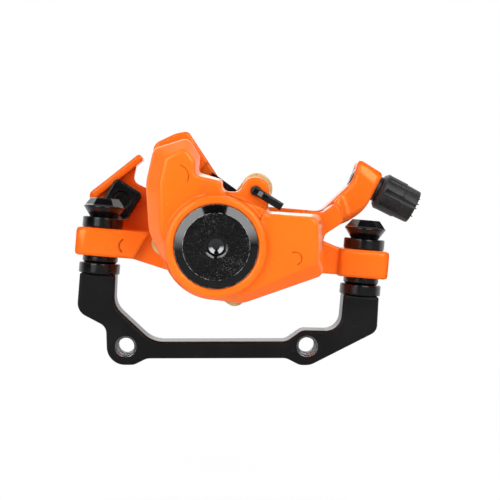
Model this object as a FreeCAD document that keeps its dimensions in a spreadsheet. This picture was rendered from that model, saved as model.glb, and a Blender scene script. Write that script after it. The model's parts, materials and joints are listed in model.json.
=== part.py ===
import FreeCAD, Part
import math
import os
import re

import Sketcher
from FreeCAD import Placement, Rotation, Vector

# Mechanical disc brake caliper on an adapter bracket. Lengths are in millimetres and
# angles in degrees. The origin is midway between the bracket's two frame holes, on its
# outer face. X runs along those holes, Y points away from the wheel and Z points up.
# Pieces of the caliper are drawn in its own frame, which has the piston axis as its
# origin and is tilted about Y.
SIZES = {
    # adapter bracket
    "bracket_thick": 10.0,
    "frame_hole_spacing": 51.0,
    "frame_hole_radius": 2.5,
    "frame_boss": 5.2,
    "bar_top": 1.35,
    "bar_bottom": 3.4,
    "bracket_edge": 0.5,
    "post_width": 10.0,
    "post_top": 11.45,
    "post_hole_depth": 10.5,
    # where the caliper sits
    "tilt": 4.8,
    "piston_x": 0.0,
    "piston_height": 29.1,
    "mount_spacing": 74.2,
    "mount_left": 32.4,
    "rotor_offset": 15.5,
    # mounting bolts and their washers
    "bolt_radius": 3.0,
    "bolt_engagement": 9.5,
    "bolt_head_radius": 5.9,
    "bolt_head_height": 5.3,
    "bolt_head_waist": 2.9,
    "bolt_top_radius": 3.9,
    "bolt_seat_radius": 3.9,
    "bolt_socket_depth": 3.2,
    "bolt_head_rim": 0.4,
    "washer_round": 0.35,
    "washer_radius": 5.8,
    "cup_height": 3.0,
    "cup_seat_radius": 4.6,
    "dish_depth": 1.0,
    "washer_clearance": 0.15,
    "convex_radius": 5.0,
    "thread_clearance": 0.02,
    "seat_clearance": 0.03,
    "thread_chamfer": 0.4,
    "edge_round": 0.3,
    "soft_round": 0.4,
    # ears
    "ear_top": 1.5,
    "ear_bottom": 6.4,
    "ear_clearance": 0.05,
    "ear_front": 6.5,
    "ear_end": 6.7,
    "ear_round": 1.2,
    "ear_slot_half": 3.25,
    "ear_slide": 1.2,
    # pads
    "pad_angle": 59.0,
    "lining_gap": 4.5,
    "lining_thick": 2.0,
    "plate_thick": 2.0,
    "pad_half_width": 14.85,
    "pad_foot": 11.0,
    "pad_shoulder": 6.0,
    "tab_half_width": 4.1,
    "tab_top": 22.7,
    "pad_clearance": 0.25,
    "pad_pin_reach": 17.8,
    "pad_pin_radius": 1.25,
    "pin_leg_length": 8.0,
    "pin_leg_half": 1.05,
    "pin_leg_thick": 1.4,
    "pin_leg_turn": 26.9,
    # rotor space
    "rotor_slot": 4.8,
    "rotor_reach": 10.0,
    "rotor_radius": 81.0,
    # housings
    "front_face": 36.3,
    "ring_face": 38.5,
    "ring_radius": 13.35,
    "ring_round": 1.0,
    "ring_bevel": 0.4,
    "rim_round": 0.9,
    "shoulder_round": 1.6,
    "ridge_x": -6.96,
    "ridge_z": 11.55,
    "ridge_turn": 20.7,
    "ridge_width": 1.9,
    "ridge_drop": 0.8,
    "ridge_reach": 18.0,
    "ridge_height": 25.0,
    "ear_face": 33.0,
    "lobe_back": 3.0,
    "hub_radius": 14.2,
    "body_bolt_reach": 11.3,
    "body_bolt_side": 19.3,
    "body_bolt_radius": 2.5,
    "body_bolt_head": 4.2,
    "body_bolt_head_height": 4.0,
    "body_bolt_engagement": 12.5,
    "small_socket": 4.0,
    "small_socket_depth": 2.4,
    # pad adjuster
    "adjuster_radius": 10.95,
    "adjuster_thick": 5.0,
    "adjuster_proud": 1.0,
    "adjuster_core": 8.0,
    "adjuster_bevel": 2.2,
    "adjuster_travel": 2.0,
    "screw_clearance": 0.05,
    "socket_flats": 5.0,
    "socket_ring": 3.25,
    # ramp mechanism
    "bore_radius": 11.5,
    "bore_clearance": 0.05,
    "piston_thick": 3.0,
    "spindle_thick": 4.5,
    "ramp_gap": 1.0,
    "cup_thick": 5.25,
    "end_wall": 1.5,
    "shaft_radius": 5.0,
    "ball_radius": 2.5,
    "ball_circle": 8.3,
    "ball_seat": 1.7,
    "ball_clearance": 0.05,
    "lever_turn": 40.0,
    "ramp_rise": 2.0,
    "spring_room": 6.2,
    # return spring
    "spring_radius": 8.9,
    "spring_wire": 1.0,
    "spring_pitch": 1.6,
    "spring_tail": 6.0,
    "seal_reach": 2.2,
    "seal_height": 3.8,
    # lever
    "lever_thick": 3.5,
    "lever_hub": 8.5,
    "lever_flat": 3.5,
    "lever_bore": 4.4,
    "lever_bolt_radius": 2.5,
    "lever_bolt_length": 8.6,
    "lever_bolt_head": 5.0,
    "lever_bolt_head_height": 3.3,
    "lever_washer_radius": 6.5,
    "lever_washer_thick": 1.0,
    "rim_thick": 2.2,
    "rim_inner": 3.0,
    "rim_outer": 2.0,
    "clamp_x": 28.4,
    "clamp_z": 9.8,
    "clamp_half": 3.8,
    "clamp_thick": 4.4,
    "clamp_turn": 27.0,
    "clamp_plate_half": 4.6,
    "clamp_plate_thick": 1.1,
    "clamp_plate_bevel": 0.4,
    "clamp_bolt_radius": 2.5,
    "clamp_bolt_head": 4.2,
    "clamp_bolt_head_height": 3.0,
    # cable stop and barrel adjuster
    "stop_x": 44.6,
    "stop_z": 19.35,
    "stop_y": 6.0,
    "stop_angle": 22.1,
    "stop_thick": 8.2,
    "stop_up": 4.4,
    "stop_up_inside": 5.1,
    "stop_down": 7.3,
    "stop_width": 9.5,
    "barrel_radius": 3.0,
    "collar_radius": 3.8,
    "collar_length": 1.3,
    "knob_length": 11.5,
    "knob_radius": 5.4,
    "knob_end_radius": 4.9,
    "knob_chamfer": 0.9,
    "knob_step": 0.6,
    "flute_radius": 1.2,
    "flute_depth": 0.75,
    "cable_hole": 1.1,
    "ferrule_radius": 3.3,
    "ferrule_bore": 2.6,
    "ferrule_length": 7.0,
}

doc = FreeCAD.newDocument("brake_caliper")
sheet = doc.addObject("Spreadsheet::Sheet", "Sheet")
for row, (alias, size) in enumerate(SIZES.items(), start=1):
    sheet.set("A%d" % row, alias)
    sheet.set("B%d" % row, str(size))
    sheet.setAlias("B%d" % row, alias)
doc.recompute()


def value(text):
    """The number that an expression in the sheet's names comes to."""
    return float(sheet.evalExpression(str(text)))


def linked(text):
    """The same expression as another object of the document has to write it."""
    def with_sheet(found):
        return "Sheet." + found.group() if found.group() in SIZES else found.group()
    return re.sub(r"[a-z_]+", with_sheet, str(text))


# Stations along Y, from the wheel side outwards.
ROTOR = "(-bracket_thick / 2 - rotor_offset)"
BOLTS = "(-bracket_thick / 2)"
INNER_LINING = "(%s - lining_gap / 2)" % ROTOR
INNER_PLATE = "(%s - lining_thick)" % INNER_LINING
INNER_BACK = "(%s - plate_thick)" % INNER_PLATE
INNER_WALL = "(%s - pad_clearance)" % INNER_BACK
OUTER_LINING = "(%s + lining_gap / 2)" % ROTOR
OUTER_PLATE = "(%s + lining_thick)" % OUTER_LINING
OUTER_BACK = "(%s + plate_thick)" % OUTER_PLATE
OUTER_WALL = "(%s + pad_clearance)" % OUTER_BACK
PISTON_BACK = "(%s + piston_thick)" % OUTER_BACK
SPINDLE_BACK = "(%s + spindle_thick)" % PISTON_BACK
CUP_FACE = "(%s + ramp_gap)" % SPINDLE_BACK
CUP_BACK = "(%s + cup_thick)" % CUP_FACE
HUB_FACE = "(%s + end_wall)" % CUP_BACK
LEVER_FACE = "(%s + spring_room)" % HUB_FACE
LEVER_BACK = "(%s + lever_thick)" % LEVER_FACE
MOUNT_RIGHT = "(mount_spacing - mount_left)"
PIN_X = "(pad_pin_reach * cos(pad_angle))"
PIN_Z = "(pad_pin_reach * sin(pad_angle))"


def row_x(x, z):
    """Row X of a point given in the caliper's frame."""
    return "(piston_x + (%s) * cos(tilt) + (%s) * sin(tilt))" % (x, z)


def row_z(x, z):
    """Row Z of a point given in the caliper's frame."""
    return "(piston_height - (%s) * sin(tilt) + (%s) * cos(tilt))" % (x, z)


def new_body(label, x=None, y="0", z=None, turn="0"):
    """A body in the caliper's frame moved to x, y, z and turned further, or in the row frame."""
    body = doc.addObject("PartDesign::Body", label)
    body.Label = label
    if x is not None:
        body.Placement = Placement(Vector(0, 0, 0), Rotation(Vector(0, 1, 0), 1))
        body.setExpression("Placement.Base.x", linked(row_x(x, z)))
        body.setExpression("Placement.Base.y", linked(y))
        body.setExpression("Placement.Base.z", linked(row_z(x, z)))
        body.setExpression("Placement.Rotation.Angle", linked("tilt + (%s)" % turn))
    return body


def new_sketch(body, plane, depth="0", at=("0", "0"), turn="0"):
    """A sketch on an origin plane, moved to depth along Y (on XZ) or Z (on XY)."""
    sketch = body.newObject("Sketcher::SketchObject", body.Name + "_sketch")
    support = [item for item in body.Origin.OriginFeatures if item.Role == plane][0]
    sketch.AttachmentSupport = (support, [""])
    sketch.MapMode = "FlatFace"
    sketch.AttachmentOffset = Placement(Vector(0, 0, 0), Rotation(Vector(0, 0, 1), 1))
    sign = "-" if plane == "XZ_Plane" else ""
    sketch.setExpression("AttachmentOffset.Base.x", linked(at[0]))
    sketch.setExpression("AttachmentOffset.Base.y", linked(at[1]))
    sketch.setExpression("AttachmentOffset.Base.z", linked("%s(%s)" % (sign, depth)))
    sketch.setExpression("AttachmentOffset.Rotation.Angle", linked(turn))
    return sketch


def corner_arc(start, middle, end, radius):
    """The arc that rounds a corner, always counter-clockwise as sketches need it."""
    chord = (start + end) * 0.5
    centre = middle - (middle - chord).normalize() * radius
    circle = Part.Circle(centre, Vector(0, 0, 1), radius)
    leftward = (middle - start).cross(end - middle).z > 0
    first, last = (start, end) if leftward else (end, start)
    return Part.ArcOfCircle(circle, circle.parameter(first), circle.parameter(last))


def outline(sketch, corners):
    """A closed outline from sharp corners (x, z, rounding), each bound to the sheet."""
    points = [Vector(value(x), value(z), 0) for x, z, rounding in corners]
    radii = [value(rounding) for x, z, rounding in corners]
    count = len(corners)
    starts = []
    middles = []
    ends = []
    for i in range(count):
        back = (points[i - 1] - points[i]).normalize()
        ahead = (points[(i + 1) % count] - points[i]).normalize()
        half = back.getAngle(ahead) / 2
        reach = radii[i] / math.tan(half)
        starts.append(points[i] + back * reach)
        ends.append(points[i] + ahead * reach)
        depth = radii[i] / math.sin(half) - radii[i]
        middles.append(points[i] + (back + ahead).normalize() * depth)
    for i in range(count):
        side = (points[i] - points[i - 1]).Length
        used = (ends[i - 1] - points[i - 1]).Length + (starts[i] - points[i]).Length
        if used > side + 1e-6:
            raise ValueError("roundings of %s meet before corner %d" % (sketch.Name, i))
    base = sketch.GeometryCount
    lines = [Part.LineSegment(ends[i - 1], starts[i]) for i in range(count)]
    sketch.addGeometry(lines, False)
    rules = []
    bound = []
    for i, (x, z, rounding) in enumerate(corners):
        line = base + i
        following = base + (i + 1) % count
        if radii[i] > 0:
            arc_shape = corner_arc(starts[i], middles[i], ends[i], radii[i])
            arc = sketch.addGeometry(arc_shape, False)
            dot = sketch.addGeometry(Part.Point(points[i]), True)
            near = 1 if (arc_shape.StartPoint - starts[i]).Length < 1e-6 else 2
            rules.append(Sketcher.Constraint("Tangent", line, 2, arc, near))
            rules.append(Sketcher.Constraint("Tangent", arc, 3 - near, following, 1))
            rules.append(Sketcher.Constraint("PointOnObject", dot, 1, line))
            rules.append(Sketcher.Constraint("PointOnObject", dot, 1, following))
            bound.append((len(rules), rounding))
            rules.append(Sketcher.Constraint("Radius", arc, radii[i]))
            spot = (dot, 1)
        else:
            rules.append(Sketcher.Constraint("Coincident", line, 2, following, 1))
            spot = (line, 2)
        bound.append((len(rules), x))
        rules.append(Sketcher.Constraint("DistanceX", -1, 1, spot[0], spot[1], points[i].x))
        bound.append((len(rules), z))
        rules.append(Sketcher.Constraint("DistanceY", -1, 1, spot[0], spot[1], points[i].y))
    bind_rules(sketch, rules, bound)


def bind_rules(sketch, rules, bound):
    """Adds constraints and ties the measured ones to the sheet."""
    first = sketch.ConstraintCount
    sketch.addConstraint(rules)
    for place, text in bound:
        sketch.setExpression("Constraints[%d]" % (first + place), linked(text))


def circle(sketch, x, z, radius):
    """A circle whose centre and radius are bound to the sheet."""
    centre = Vector(value(x), value(z), 0)
    size = value(radius)
    ring = sketch.addGeometry(Part.Circle(centre, Vector(0, 0, 1), size), False)
    rules = [
        Sketcher.Constraint("DistanceX", -1, 1, ring, 3, centre.x),
        Sketcher.Constraint("DistanceY", -1, 1, ring, 3, centre.y),
        Sketcher.Constraint("Radius", ring, size),
    ]
    bind_rules(sketch, rules, [(0, x), (1, z), (2, radius)])


def draw(sketch, outlines, circles):
    for corners in outlines:
        outline(sketch, corners)
    for x, z, radius in circles:
        circle(sketch, x, z, radius)


def slab(body, back, front, outlines=(), circles=(), at=("0", "0"), turn="0"):
    """Material between two stations along Y, drawn as seen from the wheel side."""
    sketch = new_sketch(body, "XZ_Plane", back, at, turn)
    draw(sketch, outlines, circles)
    feature = body.newObject("PartDesign::Pad", body.Name + "_pad")
    feature.Profile = sketch
    feature.setExpression("Length", linked("(%s) - (%s)" % (back, front)))
    return feature


def cut_slab(body, front, back, outlines=(), circles=(), at=("0", "0"), turn="0"):
    """A cut between two stations along Y."""
    sketch = new_sketch(body, "XZ_Plane", front, at, turn)
    draw(sketch, outlines, circles)
    feature = body.newObject("PartDesign::Pocket", body.Name + "_pocket")
    feature.Profile = sketch
    feature.setExpression("Length", linked("(%s) - (%s)" % (back, front)))
    return feature


def cut_down(body, top, bottom, outlines=(), circles=(), at=("0", "0"), turn="0"):
    """A cut between two heights along the body's Z."""
    sketch = new_sketch(body, "XY_Plane", top, at, turn)
    draw(sketch, outlines, circles)
    feature = body.newObject("PartDesign::Pocket", body.Name + "_pocket")
    feature.Profile = sketch
    feature.setExpression("Length", linked("(%s) - (%s)" % (top, bottom)))
    return feature


def turned(body, plane, corners, cut=False, at=("0", "0"), depth="0", turn="0"):
    """A revolved profile (radius, height) about the sketch's vertical axis."""
    sketch = new_sketch(body, plane, depth, at, turn)
    outline(sketch, corners)
    kind = "PartDesign::Groove" if cut else "PartDesign::Revolution"
    feature = body.newObject(kind, body.Name + "_turned")
    feature.Profile = sketch
    feature.ReferenceAxis = (sketch, ["V_Axis"])
    feature.Angle = 360
    return feature


def round_copies(body, feature, count):
    """Copies of a feature about the body's Z axis."""
    pattern = body.newObject("PartDesign::PolarPattern", body.Name + "_ring")
    pattern.Originals = [feature]
    pattern.Axis = (feature.Profile[0], ["N_Axis"])
    pattern.Angle = 360
    pattern.Occurrences = count
    body.Tip = pattern
    return pattern


def hexagon(flats):
    """Corners of a hexagon by its width across flats."""
    reach = "(%s) / sqrt(3)" % flats
    turns = [60 * side for side in range(6)]
    return [("%s * cos(%d)" % (reach, a), "%s * sin(%d)" % (reach, a), "0") for a in turns]


def square(half, rounding):
    """Corners of a square about the sketch's origin."""
    return [("-" + half, "-" + half, rounding), (half, "-" + half, rounding),
            (half, half, rounding), ("-" + half, half, rounding)]


def with_twin(label, build):
    """A node of two equal pieces, one at each mounting bolt."""
    left = build(new_body(label + "_left", "-mount_left", BOLTS, "0"))
    right = build(new_body(label + "_right", MOUNT_RIGHT, BOLTS, "0"))
    group = doc.addObject("Part::Compound", label)
    group.Label = label
    group.Links = [left, right]
    return group


def rounded_edges(body, base, radius, picks, kind="Fillet"):
    """Rounds or bevels the edges of a feature that a test picks out."""
    doc.recompute()
    names = ["Edge%d" % (i + 1) for i, edge in enumerate(base.Shape.Edges) if picks(edge)]
    feature = body.newObject("PartDesign::" + kind, body.Name + "_edges")
    feature.Base = (base, names)
    feature.setExpression("Radius" if kind == "Fillet" else "Size", linked(radius))
    return feature


def flat_at(station, beyond="0"):
    """A test for edges that lie flat at a station along Y, further than a reach from the axis."""
    level = value(station)
    reach = value(beyond)

    def lies_there(edge):
        box = edge.BoundBox
        middle = edge.CenterOfMass
        flat = box.YLength < 1e-4 and abs(box.YMin - level) < 1e-3
        return flat and math.hypot(middle.x, middle.z) > reach
    return lies_there


def adapter_bracket():
    body = new_body("adapter_bracket")
    hole = "frame_hole_spacing / 2"
    left = "-mount_left"
    half = "post_width / 2"
    left_out = ("%s - %s" % (left, half), "-post_top")
    left_in = ("%s + %s" % (left, half), "-post_top")
    right_in = ("%s - %s" % (MOUNT_RIGHT, half), "-post_top")
    right_out = ("%s + %s" % (MOUNT_RIGHT, half), "-post_top")
    corners = [
        ("-%s - frame_boss" % hole, "-frame_boss", "frame_boss - 0.1"),
        ("-%s + 2.3" % hole, "-frame_boss", "3.5"),
        ("-%s + 5.9" % hole, "-bar_bottom", "4"),
        ("%s - 5.9" % hole, "-bar_bottom", "4"),
        ("%s - 2.1" % hole, "-frame_boss - 0.2", "3.5"),
        ("%s + 0.9" % hole, "-frame_boss - 0.2", "5"),
        ("%s - 0.5" % row_x(*right_out), "4.1", "3"),
        (row_x(*right_out), row_z(*right_out), "0.6"),
        (row_x(*right_in), row_z(*right_in), "0.6"),
        ("%s - 0.9" % row_x(*right_in), "4.2", "4.5"),
        ("%s - 1.4" % hole, "4.5", "3"),
        ("%s - 5.8" % hole, "bar_top", "4"),
        ("-%s + 7.5" % hole, "bar_top", "8"),
        ("%s - 0.4" % row_x(*left_in), "11.4", "6"),
        (row_x(*left_in), row_z(*left_in), "0.6"),
        (row_x(*left_out), row_z(*left_out), "0.6"),
        ("%s - 0.9" % row_x(*left_out), "9.9", "4"),
        ("-%s - 5.5" % hole, "5.6", "3"),
    ]
    slab(body, "0", "-bracket_thick", [corners])
    cut_slab(body, "-bracket_thick", "0",
             circles=[("-%s" % hole, "0", "frame_hole_radius"),
                      (hole, "0", "frame_hole_radius")])
    for mount in (left, MOUNT_RIGHT):
        sketch = new_sketch(body, "XY_Plane")
        sketch.AttachmentOffset = Placement(Vector(0, 0, 0), Rotation(Vector(0, 1, 0), 1))
        sketch.setExpression("AttachmentOffset.Base.x", linked(row_x(mount, "-post_top")))
        sketch.setExpression("AttachmentOffset.Base.y", linked(BOLTS))
        sketch.setExpression("AttachmentOffset.Base.z", linked(row_z(mount, "-post_top")))
        sketch.setExpression("AttachmentOffset.Rotation.Angle", linked("tilt"))
        circle(sketch, "0", "0", "bolt_radius")
        hole_cut = body.newObject("PartDesign::Pocket", "post_hole")
        hole_cut.Profile = sketch
        hole_cut.setExpression("Length", linked("post_hole_depth"))
    near = flat_at("-bracket_thick")
    far = flat_at("0")
    rounded_edges(body, hole_cut, "bracket_edge", lambda edge: near(edge) or far(edge), "Chamfer")
    return body


def mount_bolt(body):
    head = "ear_top + cup_height"
    foot = "-post_top - bolt_engagement"
    shank = "bolt_radius - thread_clearance"
    shoulder = "%s + bolt_head_waist + bolt_head_rim" % head
    top_reach = "bolt_head_radius - bolt_head_rim"
    top = "%s + bolt_head_height" % head
    turned(body, "XZ_Plane", [
        ("0", foot, "0"),
        ("%s - thread_chamfer" % shank, foot, "0"),
        (shank, "%s + thread_chamfer" % foot, "0"),
        (shank, "%s - dish_depth" % head, "0"),
        ("bolt_seat_radius", head, "0"),
        ("bolt_head_radius", "%s + bolt_head_waist" % head, "0.25"),
        (top_reach, shoulder, "0"),
        ("0", shoulder, "0"),
    ])
    low = new_sketch(body, "XY_Plane", shoulder)
    outline(low, hexagon("(%s) * sqrt(3)" % top_reach))
    high = new_sketch(body, "XY_Plane", top)
    outline(high, hexagon("bolt_top_radius * sqrt(3)"))
    facets = body.newObject("PartDesign::AdditiveLoft", "bolt_facets")
    facets.Profile = low
    facets.Sections = [high]
    facets.Ruled = True
    cut_down(body, top, "%s - bolt_socket_depth" % top, [hexagon("socket_flats")])
    return body


def cup_washer(body, bottom, seat_radius):
    """A washer with a conical seat in its top."""
    top = "%s + cup_height" % bottom
    bore = "bolt_radius + washer_clearance"
    turned(body, "XZ_Plane", [
        (bore, bottom, "0"),
        ("washer_radius", bottom, "washer_round"),
        ("washer_radius", top, "washer_round"),
        ("%s + seat_clearance" % seat_radius, top, "0"),
        (bore, "%s - dish_depth" % top, "0"),
    ])
    return body


def upper_cup_washer(body):
    return cup_washer(body, "ear_top", "bolt_seat_radius")


def lower_cup_washer(body):
    return cup_washer(body, "-post_top", "cup_seat_radius")


def convex_washer(body):
    top = "-ear_bottom"
    seat = "-post_top + cup_height"
    bore = "bolt_radius + washer_clearance"
    turned(body, "XZ_Plane", [
        (bore, "%s - 0.9" % seat, "0"),
        ("cup_seat_radius - 0.1", "%s + seat_clearance" % seat, "0"),
        ("convex_radius", "%s + 0.6" % seat, "edge_round"),
        ("convex_radius", top, "washer_round"),
        (bore, top, "0"),
    ])
    return body


PAD_TURN = "pad_angle - 90"


def pad_outline(spare, foot):
    """Backing plate, or the space for it with spare all round, in the pad's frame."""
    side = "pad_half_width + %s" % spare
    neck = "tab_half_width + %s" % spare
    shoulder = "pad_shoulder + %s" % spare
    right = [
        (side, foot, "3" if spare == "0" else "0"),
        (side, shoulder, "2.6"),
        ("8.5 + %s" % spare, "%s + 3.5" % shoulder, "2"),
        (neck, "%s + 6.5" % shoulder, "1.5"),
        (neck, "tab_top + %s" % spare, "3.9"),
    ]
    left = [("-(%s)" % x, z, r) for x, z, r in reversed(right)]
    return right + left


def backing_plate(label, front, back):
    body = new_body(label, "0", "0", "0", "90 - pad_angle")
    slab(body, back, front, [pad_outline("0", "-pad_foot")],
         [("0", "pad_pin_reach", "pad_pin_radius + 0.35")])
    return body


def pad_lining(label, front, back):
    body = new_body(label, "0", "0", "0", "90 - pad_angle")
    side = "pad_half_width - 1.2"
    corners = [
        (side, "-pad_foot + 0.9", "2.4"),
        (side, "pad_shoulder - 1.2", "2.4"),
        ("7.8", "pad_shoulder + 2.3", "2"),
        ("-7.8", "pad_shoulder + 2.3", "2"),
        ("-(%s)" % side, "pad_shoulder - 1.2", "2.4"),
        ("-(%s)" % side, "-pad_foot + 0.9", "2.4"),
    ]
    slab(body, back, front, [corners])
    return body


def body_bolt_places():
    """The two body bolts, level with each other in the pad's frame."""
    return [("body_bolt_side", "body_bolt_reach"), ("-body_bolt_side", "body_bolt_reach")]


def cut_pad_room(body, front, back, plate_front, plate_back):
    """Space for a pad, open towards the wheel, and the window above it."""
    cut_slab(body, front, back, [pad_outline("pad_clearance", "-40")], turn=PAD_TURN)
    side = "pad_half_width + pad_clearance"
    window = [(side, "-40", "0"), (side, "40", "0"),
              ("-(%s)" % side, "40", "0"), ("-(%s)" % side, "-40", "0")]
    cut_slab(body, plate_front, plate_back, [window], turn=PAD_TURN)
    cut_slab(body, "%s - rotor_slot / 2" % ROTOR, "%s + rotor_slot / 2" % ROTOR,
             circles=[("0", "rotor_reach - rotor_radius", "rotor_radius")], turn=PAD_TURN)


INBOARD_OUTLINE = [
    # corner x and z, its rounding; inset of the raised face along x and z, its rounding
    ("-8.32", "-14.12", "14.4", "0.6", "1.0", "13.4"),
    ("-18.1", "2.1", "12", "3.4", "0.2", "12"),
    ("-19.95", "15.0", "15", "4.0", "0", "15"),
    ("-18.65", "24.2", "2.8", "3.6", "-2.6", "1.8"),
    ("-9.6", "27.85", "2.2", "-0.9", "-3.2", "1.6"),
    ("-6.2", "23.2", "1.5", "-1.2", "-1.6", "1.2"),
    ("-6.15", "18.9", "1.3", "-1.0", "-0.9", "1.3"),
    ("0.4", "17.5", "1.0", "-0.6", "-0.7", "1.0"),
    ("0.4", "14.6", "1.9", "-0.6", "-0.6", "1.9"),
    ("5.0", "14.6", "2.2", "0.5", "-0.6", "2.2"),
    ("6.3", "19.0", "3.6", "0.6", "-0.7", "2.6"),
    ("12.9", "19.0", "3.6", "-0.7", "-0.7", "2.8"),
    ("12.9", "10.2", "1.0", "-0.7", "-0.7", "1.0"),
    ("27.4", "10.5", "2.5", "-1.6", "-0.9", "1.8"),
    ("29.0", "-5.5", "2.5", "-2.0", "3.4", "2"),
    ("8.3", "-14.7", "8", "0", "3.0", "8"),
]


def inboard_housing():
    body = new_body("inboard_housing", "0", "0", "0")
    base = [(x, z, rounding) for x, z, rounding, dx, dz, face_rounding in INBOARD_OUTLINE]
    face = [("%s + %s" % (x, dx), "%s + %s" % (z, dz), face_rounding)
            for x, z, rounding, dx, dz, face_rounding in INBOARD_OUTLINE]
    shoulder = "-front_face + 4.5"
    slab(body, ROTOR, shoulder, [base])
    low = new_sketch(body, "XZ_Plane", shoulder)
    outline(low, base)
    high = new_sketch(body, "XZ_Plane", "-front_face")
    outline(high, face)
    loft = body.newObject("PartDesign::AdditiveLoft", "raised_face")
    loft.Profile = low
    loft.Sections = [high]
    loft.Ruled = True
    rim = rounded_edges(body, loft, "rim_round", flat_at("-front_face"))
    rounded_edges(body, rim, "shoulder_round", flat_at(shoulder))
    ridge = new_sketch(body, "XY_Plane")
    ridge.AttachmentOffset = Placement(Vector(0, 0, 0), Rotation(Vector(0, 1, 0), 1))
    ridge.setExpression("AttachmentOffset.Base.x", linked("ridge_x"))
    ridge.setExpression("AttachmentOffset.Base.z", linked("ridge_z"))
    ridge.setExpression("AttachmentOffset.Rotation.Angle", linked("ridge_turn"))
    outline(ridge, [
        ("0", "-front_face - 0.5", "0"),
        ("0", "-front_face", "0"),
        ("ridge_width", "-front_face + ridge_drop", "0"),
        ("ridge_reach", "-front_face + ridge_drop", "0"),
        ("ridge_reach", "-front_face - 0.5", "0"),
    ])
    step = body.newObject("PartDesign::Pocket", "ridge_step")
    step.Profile = ridge
    step.Reversed = True
    step.setExpression("Length", linked("ridge_height"))
    turned(body, "XY_Plane", [
        ("0", "-front_face + 3", "0"),
        ("ring_radius", "-front_face + 3", "0"),
        ("ring_radius", "-ring_face", "ring_round"),
        ("0", "-ring_face", "0"),
    ])
    ear = [("1.4", "13.9", "0"), ("14.5", "10.1", "0"), ("14.5", "25", "0"), ("1.4", "25", "0")]
    cut_slab(body, "-ring_face", "-ear_face", [ear])
    reach = "adjuster_thick + adjuster_travel - adjuster_proud + 0.3"
    bore = "adjuster_radius + screw_clearance"
    cut_slab(body, "-ring_face", "-ring_face + %s" % reach, circles=[("0", "0", bore)])
    turned(body, "XY_Plane", [
        ("0", "-ring_face", "0"),
        ("%s + ring_bevel" % bore, "-ring_face", "0"),
        (bore, "-ring_face + ring_bevel", "0"),
        ("0", "-ring_face + ring_bevel", "0"),
    ], cut=True)
    cut_slab(body, "-ring_face", ROTOR, circles=[("0", "0", "adjuster_core + 0.3")])
    cut_pad_room(body, INNER_WALL, ROTOR, INNER_PLATE, ROTOR)
    cut_slab(body, "%s - 13" % ROTOR, ROTOR,
             circles=[(x, z, "body_bolt_radius") for x, z in body_bolt_places()],
             turn=PAD_TURN)
    cut_slab(body, "-ring_face", ROTOR,
             circles=[("0", "pad_pin_reach", "pad_pin_radius + bore_clearance")],
             turn=PAD_TURN)
    return body


OUTBOARD_OUTLINE = [
    ("-8.32", "-14.12", "14.4"),
    ("-18.1", "2.1", "12"),
    ("-19.95", "15.0", "15"),
    ("-19.0", "25.9", "3"),
    ("-13.6", "29.0", "5"),
    ("-10.15", "30.0", "1.6"),
    ("0.4", "16.6", "0.4"),
    ("0.4", "14.6", "1.5"),
    ("5.0", "14.6", "2.2"),
    ("6.3", "19.0", "3.6"),
    ("12.9", "19.0", "3.6"),
    ("12.9", "11.3", "0.8"),
    ("27.6", "11.3", "2"),
    ("29.0", "-5.5", "2.5"),
    ("8.3", "-14.7", "8"),
]


def ear_block(end, inner_top, inner_bottom):
    """Outline of one mounting ear, from its inner end to its rounded outer end."""
    top = "ear_top - ear_clearance"
    bottom = "-ear_bottom + ear_clearance"
    return [(inner_top, top, "0"), (inner_bottom, bottom, "0"),
            (end, bottom, "ear_round"), (end, top, "ear_round")]


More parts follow.
